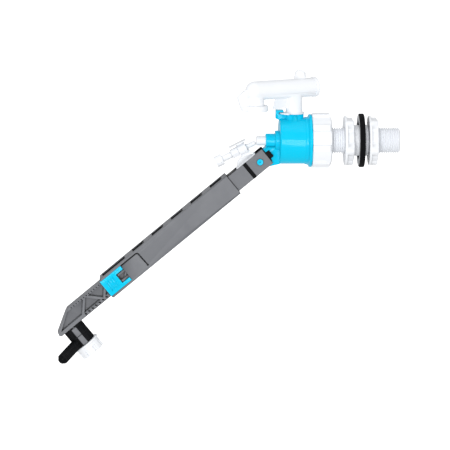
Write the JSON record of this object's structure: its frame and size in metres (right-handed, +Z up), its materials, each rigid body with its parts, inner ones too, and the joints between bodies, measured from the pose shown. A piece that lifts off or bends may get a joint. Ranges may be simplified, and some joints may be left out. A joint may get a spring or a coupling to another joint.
{
  "type": "toilet fill valve",
  "caption": "Side-entry float valve: threaded inlet tail, drum body, swivel outlet spout, plunger and a long telescopic float arm.",
  "frame": {"origin": "on the inlet axis, in the sealing face of the wall washer", "axes": "+X along the inlet out through the cistern wall, +Z up, +Y to the back of the valve"},
  "size_m": [0.2753, 0.0474, 0.2344],
  "materials": {
    "white": "moulded white plastic, satin gloss",
    "cyan": "moulded bright blue plastic, glossy",
    "grey": "moulded mid-grey plastic, satin",
    "black": "moulded black plastic, satin",
    "filter": "pale moulded plastic",
    "seal": "black rubber"
  },
  "bodies": {
    "valve": {"valve_body": "cyan", "inlet_tail": "white", "inlet_filter": "filter", "flow_restrictor": "filter", "union_washer": "seal", "seat_cartridge": "white", "diaphragm": "seal", "pivot_pin": "cyan"},
    "coupling_nut": {"coupling_nut": "white"},
    "wall_seal": {"wall_washer": "seal", "centring_bush": "white"},
    "inner_lock_nut": {"inner_lock_nut": "white"},
    "outer_back_nut": {"outer_back_nut": "white"},
    "spout": {"outlet_spout": "white", "spout_end_cap": "white", "spout_o_ring": "seal"},
    "plunger": {"plunger": "white"},
    "float_arm": {"lever": "grey", "lever_liner": "black", "bracket_clip": "black", "screw_bracket": "white", "screw_lock_nut": "white", "arm_sleeve": "grey", "slide_liner": "black"},
    "screw_nose": {"screw_nose": "white"},
    "adjusting_screw": {"adjusting_screw": "white"},
    "arm_latch": {"arm_latch": "cyan"},
    "arm_extension": {"arm_extension": "grey", "barrel_ring_upper": "black", "barrel_ring_lower": "black"},
    "float_connector": {"float_connector": "white"},
    "thumb_pad": {"thumb_pad": "black"},
    "thumb_screw": {"thumb_screw": "black"}
  },
  "joints": [
    {"name": "float_arm", "type": "hinge", "parent": "valve", "child": "float_arm", "pos_m": [-0.0839, 0, -0.0164], "axis": [0, 1, 0], "range_deg": [0, 18]},
    {"name": "plunger_slide", "type": "slide", "parent": "valve", "child": "plunger", "axis": [1, 0, 0], "range_m": [0, 0.00466], "deforming": ["diaphragm"]},
    {"name": "arm_length", "type": "slide", "parent": "float_arm", "child": "arm_extension", "axis": [-0.7705, 0, -0.6374], "range_m": [-0.028, 0.03]},
    {"name": "latch_slide", "type": "slide", "parent": "float_arm", "child": "arm_latch", "axis": [-0.7705, 0, -0.6374], "range_m": [0, 0.007]},
    {"name": "screw_nose_slide", "type": "slide", "parent": "float_arm", "child": "screw_nose", "axis": [0.8926, 0, 0.4509], "range_m": [-0.003, 0]},
    {"name": "adjusting_screw_turn", "type": "hinge", "parent": "screw_nose", "child": "adjusting_screw", "pos_m": [-0.087, 0, -0.0012], "axis": [0.8926, 0, 0.4509], "range_deg": [-1080.1, 0]},
    {"name": "washer_slide", "type": "slide", "parent": "valve", "child": "wall_seal", "axis": [1, 0, 0], "range_m": [-0.008, 0]},
    {"name": "inner_nut_turn", "type": "hinge", "parent": "wall_seal", "child": "inner_lock_nut", "pos_m": [-0.013, 0, 0], "axis": [1, 0, 0], "range_deg": [-1585, 0]},
    {"name": "outer_nut_turn", "type": "hinge", "parent": "valve", "child": "outer_back_nut", "pos_m": [0.007, 0, 0], "axis": [1, 0, 0], "range_deg": [-75, 3570]},
    {"name": "coupling_nut_turn", "type": "hinge", "parent": "valve", "child": "coupling_nut", "pos_m": [-0.034, 0, 0], "axis": [1, 0, 0], "range_deg": [0, 1800]},
    {"name": "spout_swivel", "type": "hinge", "parent": "valve", "child": "spout", "pos_m": [-0.0563, 0, 0.022], "axis": [0, 0, 1], "range_deg": [-50, 10]},
    {"name": "connector_slide", "type": "slide", "parent": "arm_extension", "child": "float_connector", "axis": [0.6374, 0, -0.7705], "range_m": [0, 0.012]},
    {"name": "thumb_pad_slide", "type": "slide", "parent": "arm_extension", "child": "thumb_pad", "axis": [-0.5635, -0.682, -0.4662], "range_m": [0, 0.0016]},
    {"name": "thumb_screw_turn", "type": "hinge", "parent": "thumb_pad", "child": "thumb_screw", "pos_m": [-0.22609, 0, -0.15985], "axis": [-0.5635, -0.682, -0.4662], "range_deg": [0, 720.1]}
  ],
  "couplings": [
    {"joint": "plunger_slide", "follows": "float_arm", "m_per_rad": 0.014825},
    {"joint": "adjusting_screw_turn", "follows": "screw_nose_slide", "rad_per_m": 6283.2},
    {"joint": "washer_slide", "follows": "inner_nut_turn", "m_per_rad": 0.00028875},
    {"joint": "thumb_screw_turn", "follows": "thumb_pad_slide", "rad_per_m": 7854}
  ]
}
